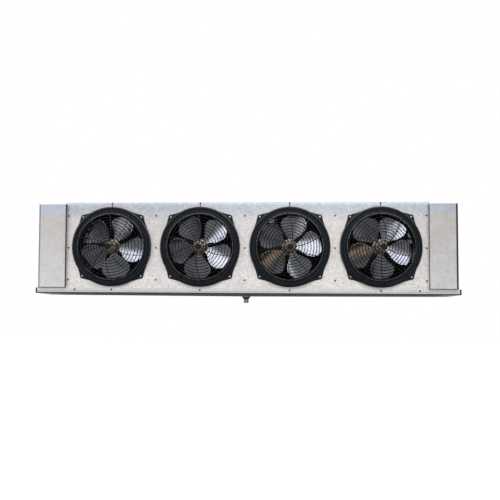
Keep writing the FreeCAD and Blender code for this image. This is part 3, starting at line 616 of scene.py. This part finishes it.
# Fan wheels: five pressed blades, dished towards the panel side. Widths are radius and half width,
# standing is where the first blade of each wheel points, in degrees
wheel = {"setback": 0.020, "blades": 5, "radius": 0.2000, "tipGap": 0.0004, "root": 0.0470,
         "pitch": 21.0, "camber": 0.220, "sheet": 0.0016, "edge": 0.0004, "corner": 0.046,
         "widths": [(0.047, 0.018), (0.060, 0.023), (0.075, 0.033), (0.095, 0.050), (0.113, 0.063),
                    (0.135, 0.074), (0.154, 0.080), (0.175, 0.083), (0.200, 0.083)],
         "across": 18, "along": 22, "crowding": 1.7, "standing": [62.0, 45.0, 5.5, 56.0]}


def halfWidth(radius):
    table = wheel["widths"]
    for (r0, w0), (r1, w1) in zip(table, table[1:]):
        if radius <= r1:
            width = w0 + (w1 - w0) * ((radius - r0) / (r1 - r0))
            break
    over = radius - (wheel["radius"] - wheel["corner"])
    if over > 0:
        width += math.sqrt(wheel["corner"] ** 2 - over ** 2) - wheel["corner"]
    return width


def pressed(across, height, back):
    # place on the dished sheet, pitched about the blade's middle line
    bow = math.sqrt((wheel["camber"] + back) ** 2 - across ** 2) - wheel["camber"]
    pitch = math.radians(wheel["pitch"])
    return Vector((across * math.cos(pitch) + bow * math.sin(pitch),
                   bow * math.cos(pitch) - across * math.sin(pitch), height))


def makeBlade():
    clearSelection()
    bpy.ops.mesh.primitive_grid_add(x_subdivisions=wheel["across"], y_subdivisions=wheel["along"],
                                    size=2)
    blade = bpy.context.object
    slant = math.cos(math.radians(wheel["pitch"]))
    for vertex in blade.data.vertices:
        u, v = vertex.co.x, (vertex.co.y + 1) / 2
        v = 1 - (1 - v) ** wheel["crowding"]    # rows closer together near the rounded tip
        radius = wheel["root"] + (wheel["radius"] - wheel["tipGap"] - wheel["root"]) * v
        angle = math.asin(halfWidth(radius) / radius) * u
        vertex.co = pressed(radius * math.sin(angle) / slant, radius * math.cos(angle), 0)
    addModifier(blade, "SOLIDIFY", thickness=wheel["sheet"], offset=1.0)
    tidyNormals(blade)
    roundEdges(blade, wheel["edge"], 2, sharp=50)
    return blade


# Spider: an arm under each blade, riveted to it, a plate pressed up into a cup round the boss, and
# the boss with its chamfers. The arm narrows, faster over the share of it named end. A corner is
# radius, distance before the wheel's middle and rounding
spider = {"armStart": 0.0132, "reach": 0.0920, "armWidth": 0.0480, "taper": 0.42, "endTaper": 0.30,
          "end": 0.14, "armGap": 0.0002, "sheet": 0.0024, "edge": 0.0007, "armGrid": (6, 12),
          "rivets": [0.062, 0.082], "rivetRadius": 0.0045, "rivetRise": 0.0022,
          "rivetFaces": (20, 10), "arcSteps": 3, "turns": 64,
          "cup": [(0.0120, 0.0320, 0.0004), (0.0200, 0.0320, 0.0010), (0.0225, 0.0300, 0.0010),
                  (0.0330, 0.0300, 0.0030), (0.0370, 0.0030, 0.0030), (0.0480, 0.0012, 0.0006),
                  (0.0480, -0.0014, 0.0006), (0.0345, -0.0004, 0.0030), (0.0310, 0.0280, 0.0020),
                  (0.0120, 0.0285, 0.0004)],
          "boss": [(0.0080, 0.0150, 0.0004), (0.0220, 0.0150, 0.0006), (0.0220, -0.0140, 0.0008),
                   (0.0080, -0.0140, 0.0004)]}


def makeArm():
    clearSelection()
    bpy.ops.mesh.primitive_grid_add(x_subdivisions=spider["armGrid"][0],
                                    y_subdivisions=spider["armGrid"][1], size=2)
    arm = bpy.context.object
    for vertex in arm.data.vertices:
        u, v = vertex.co.x, (vertex.co.y + 1) / 2
        height = spider["armStart"] + (spider["reach"] - spider["armStart"]) * v
        atEnd = max(0.0, v - 1 + spider["end"]) / spider["end"]
        width = spider["armWidth"] * (1.0 - spider["taper"] * v - spider["endTaper"] * atEnd)
        vertex.co = pressed(u * width / 2, height, spider["armGap"])
    addModifier(arm, "SOLIDIFY", thickness=spider["sheet"], offset=-1.0)
    tidyNormals(arm)
    roundEdges(arm, spider["edge"], 2, sharp=50)
    parts = [arm]
    pitch = math.radians(wheel["pitch"])
    for height in spider["rivets"]:
        clearSelection()
        bpy.ops.mesh.primitive_uv_sphere_add(segments=spider["rivetFaces"][0],
                                             ring_count=spider["rivetFaces"][1], radius=1)
        rivet = bpy.context.object
        rivet.scale = (spider["rivetRadius"], spider["rivetRise"], spider["rivetRadius"])
        rivet.rotation_euler = (0, 0, -pitch)
        rivet.location = (-wheel["sheet"] * math.sin(pitch), -wheel["sheet"] * math.cos(pitch),
                          height)
        fixPlace(rivet)
        parts.append(rivet)
    return joinAll(parts, "arm")


def turnedPart(name):
    path = roundedPath(spider[name], spider["arcSteps"])
    return spun(path, Vector((0, 0, 0)), spider["turns"], name)


def roundTheWheel(piece, name):
    return [copyOf(piece, name, Matrix.Rotation(2 * math.pi * i / wheel["blades"], 4, "Y"))
            for i in range(wheel["blades"])]


def placedWheel(piece, n, name):
    turn = Matrix.Rotation(math.radians(90 - wheel["standing"][n]), 4, "Y")
    move = Matrix.Translation((fanX[n], panelY + wheel["setback"], fanZ))
    return copyOf(piece, name, move @ turn)


blade = makeBlade()
arm = makeArm()
bladeSet = joinAll(roundTheWheel(blade, "blade"), "blade_set")
arms = roundTheWheel(arm, "arm")
cup = turnedPart("cup")
boss = turnedPart("boss")
spiderSet = joinAll(arms + [cup], "spider_set")
for piece in (bladeSet, spiderSet, boss):
    smooth(piece, 40)
for n in range(fanCount):
    body = "fan_%d" % (n + 1)
    finishPiece(placedWheel(bladeSet, n, body + "_blades"), pressedAluminium, body, "fan_aluminium",
                body + "_wheel")
    finishPiece(placedWheel(spiderSet, n, body + "_spider"), passivatedSteel, body, "fan_aluminium")
    finishPiece(placedWheel(boss, n, body + "_boss"), zincPlate, body, "fan_aluminium")
for piece in (blade, arm, bladeSet, spiderSet, boss):
    bpy.data.objects.remove(piece)
print("wheels made")


# Coil fins: thin sheets with pressed waves, close enough together to hide what is behind
fins = {"pitch": 0.005, "wave": 0.0035, "waves": 8}


def makeFins():
    low, high = finBox
    clearSelection()
    bpy.ops.mesh.primitive_grid_add(x_subdivisions=fins["waves"], y_subdivisions=1, size=2)
    fin = bpy.context.object
    order = sorted({round(vertex.co.x, 5) for vertex in fin.data.vertices})
    for vertex in fin.data.vertices:
        step = order.index(round(vertex.co.x, 5))
        depth = low.y + (high.y - low.y) * step / fins["waves"]
        side = fins["wave"] / 2 * (1 if step % 2 else -1)
        vertex.co = Vector((low.x + fins["wave"] / 2 + side, depth,
                            low.z if vertex.co.y < 0 else high.z))
    count = int((high.x - low.x - fins["wave"]) / fins["pitch"]) + 1
    addModifier(fin, "ARRAY", count=count, use_relative_offset=False, use_constant_offset=True,
                constant_offset_displace=(fins["pitch"], 0, 0))
    fin.name = "coil_fin_pack"
    return fin


finPack = makeFins()
finishPiece(finPack, shadedFins, "cabinet", "aluminium_fin", "coil_fins")
print("fins made")


# Screws: hexagon heads with a washer flange, each turned a little further than the last. Spread is
# more than a head's width and less than the way to the next one
screw = {"flange": 0.0059, "flangeRise": 0.0012, "flangeSides": 24, "across": 0.0082,
         "rise": 0.0031, "gap": 0.0002, "round": 0.0005, "turn": 0.4, "spread": 0.02}


def makeHeadPart(sides, radius, depth, middle):
    clearSelection()
    bpy.ops.mesh.primitive_cylinder_add(vertices=sides, radius=radius, depth=depth,
                                        location=(0, middle, 0), rotation=(math.pi / 2, 0, 0))
    part = bpy.context.object
    fixPlace(part)
    roundEdges(part, screw["round"], 2)
    return part


def makeScrewHead():
    flange = makeHeadPart(screw["flangeSides"], screw["flange"], screw["flangeRise"],
                          -screw["flangeRise"] / 2)
    hexagon = makeHeadPart(6, screw["across"] / math.sqrt(3), screw["rise"] - screw["gap"],
                           -screw["rise"] / 2 - screw["gap"] / 2)
    return joinAll([flange, hexagon], "screw_head")


def screwPlaces(node):
    # middle of each solid head's seat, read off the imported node
    seats = []
    for vertex in nodes[node].data.vertices:
        place = nodes[node].matrix_world @ vertex.co
        for seat in seats:
            if max(abs(seat[0].x - place.x), abs(seat[0].z - place.z)) < screw["spread"]:
                seat.append(place)
                break
        else:
            seats.append([place])
    places = []
    for seat in seats:
        xs, ys, zs = [p.x for p in seat], [p.y for p in seat], [p.z for p in seat]
        places.append(Vector(((min(xs) + max(xs)) / 2, max(ys), (min(zs) + max(zs)) / 2)))
    return places


head = makeScrewHead()
smooth(head, 35)
screwGroups = [("panel_screws", "cabinet", wornZinc), ("lip_screws", "cabinet", wornZinc),
               ("ear_screws", "cabinet", zincPlate), ("pan_screws", "drain_pan", wornZinc)]
for node, body, material in screwGroups:
    heads = []
    for i, place in enumerate(screwPlaces(node)):
        turn = Matrix.Rotation(screw["turn"] * i, 4, "Y")
        heads.append(copyOf(head, "head", Matrix.Translation(place) @ turn))
    finishPiece(joinAll(heads, node + "_heads"), material, body, "steel", node)
bpy.data.objects.remove(head)
print("screws made")


# Camera: place, turn in degrees
camera = {"place": (0.145, -3.020, -0.393), "turn": (91.88, -0.17, 2.28), "lens": 32.06,
          "sensor": 36.0}
cameraData = bpy.data.cameras.new("camera")
cameraData.lens = camera["lens"]
cameraData.sensor_width = camera["sensor"]
cameraObject = bpy.data.objects.new("camera", cameraData)
cameraObject.location = camera["place"]
cameraObject.rotation_euler = [math.radians(a) for a in camera["turn"]]
bpy.context.collection.objects.link(cameraObject)
bpy.context.scene.camera = cameraObject

# Room: even light all round, three soft lamps, two bright cards for the fans to mirror, and a dim
# card close under the pan. Each is name, place and size, then watts or colour and strength
room = {"floor": -3.4, "floorSize": 30.0, "floorGlow": 0.6, "ambient": 0.66,
        "ambientColour": "#FBFCFF", "aim": (0.0, 0.0, -0.3),
        "lamps": [("key", (0.8, -3.2, 2.6), (3.2, 1.8), 150.0),
                  ("fill", (-3.2, -2.4, 0.6), (1.8, 1.8), 16.0),
                  ("rear", (0.0, 3.6, 1.8), (3.0, 1.5), 40.0)],
        "cards": [("overheadCard", (1.0, -1.4, 2.2), (13.0, 2.4), "#F6FAFF", 10.0),
                  ("groundCard", (3.8, -1.9, -2.6), (5.2, 2.6), "#D9BF9F", 3.4),
                  ("underCard", (0.0, -0.02, -0.72), (2.74, 0.80), "#B8AEC4", 0.12)]}


def onRays(tree, *kinds):
    # 1 on rays of the kinds named, 0 on all others
    rays = addNode(tree, "ShaderNodeLightPath")
    share = rays.outputs[kinds[0]]
    for kind in kinds[1:]:
        share = addNode(tree, "ShaderNodeMath", {"operation": "MAXIMUM"},
                        {0: share, 1: rays.outputs[kind]}).outputs[0]
    return share


world = bpy.context.scene.world or bpy.data.worlds.new("studio")
bpy.context.scene.world = world
world.use_nodes = True
tree = world.node_tree
tree.nodes.clear()
seen = onRays(tree, "Is Camera Ray", "Is Glossy Ray", "Is Transmission Ray")
dim = addNode(tree, "ShaderNodeBackground",
              {"Color": linear(room["ambientColour"]), "Strength": room["ambient"]})
white = addNode(tree, "ShaderNodeBackground", {"Color": linear("#FFFFFF"), "Strength": 1.0})
mix = addNode(tree, "ShaderNodeMixShader", {}, {0: seen, 1: dim.outputs[0], 2: white.outputs[0]})
addNode(tree, "ShaderNodeOutputWorld", {}, {0: mix.outputs[0]})

clearSelection()
bpy.ops.mesh.primitive_plane_add(size=room["floorSize"], location=(0, 0, room["floor"]))
floor = bpy.context.object
floor.name = "floor"
floorPaint, tree, shader = newMaterial("paleFloorPaint", "#E4E4E3", 0.0, 0.6)
seen = onRays(tree, "Is Camera Ray", "Is Transmission Ray")
glow = addNode(tree, "ShaderNodeEmission",
               {"Color": linear("#FFFFFF"), "Strength": room["floorGlow"]})
noGlow = addNode(tree, "ShaderNodeEmission", {"Color": linear("#000000"), "Strength": 0.0})
lift = addNode(tree, "ShaderNodeMixShader", {}, {0: seen, 1: noGlow.outputs[0], 2: glow.outputs[0]})
total = addNode(tree, "ShaderNodeAddShader", {}, {0: shader.outputs[0], 1: lift.outputs[0]})
tree.links.new(total.outputs[0], tree.nodes["Material Output"].inputs["Surface"])
floor.data.materials.append(floorPaint)

shinyPieces = bpy.data.collections.new("shinyFanPieces")    # only these mirror the bright cards
for piece in bpy.data.objects:
    atFront = piece.name.startswith(("ring_", "guard_"))
    if atFront or piece.name.endswith(("_blades", "_spider", "_boss")):
        shinyPieces.objects.link(piece)
for name, place, size, colour, strength in room["cards"]:
    bright = strength > 1
    clearSelection()
    bpy.ops.mesh.primitive_plane_add(size=1, location=place)
    card = bpy.context.object
    card.name = name
    card.scale = (size[0], size[1], 1)
    fixPlace(card)
    paint, tree, shader = newMaterial(name + "Paint", colour, 0.0, 0.8)
    glow = addNode(tree, "ShaderNodeEmission", {"Color": linear(colour), "Strength": strength})
    tree.links.new(glow.outputs[0], tree.nodes["Material Output"].inputs["Surface"])
    card.data.materials.append(paint)
    card.visible_camera = False
    card.visible_shadow = False
    card.visible_diffuse = not bright
    if bright:
        card.light_linking.receiver_collection = shinyPieces

for name, place, size, watts in room["lamps"]:
    lamp = bpy.data.lights.new(name, "AREA")
    lamp.shape = "RECTANGLE"
    lamp.size = size[0]
    lamp.size_y = size[1]
    lamp.energy = watts
    lampObject = bpy.data.objects.new(name, lamp)
    lampObject.location = place
    towards = Vector(room["aim"]) - Vector(place)
    lampObject.rotation_euler = towards.to_track_quat("-Z", "Y").to_euler()
    bpy.context.collection.objects.link(lampObject)

bpy.context.scene.view_settings.view_transform = "Standard"
print("studio ready")
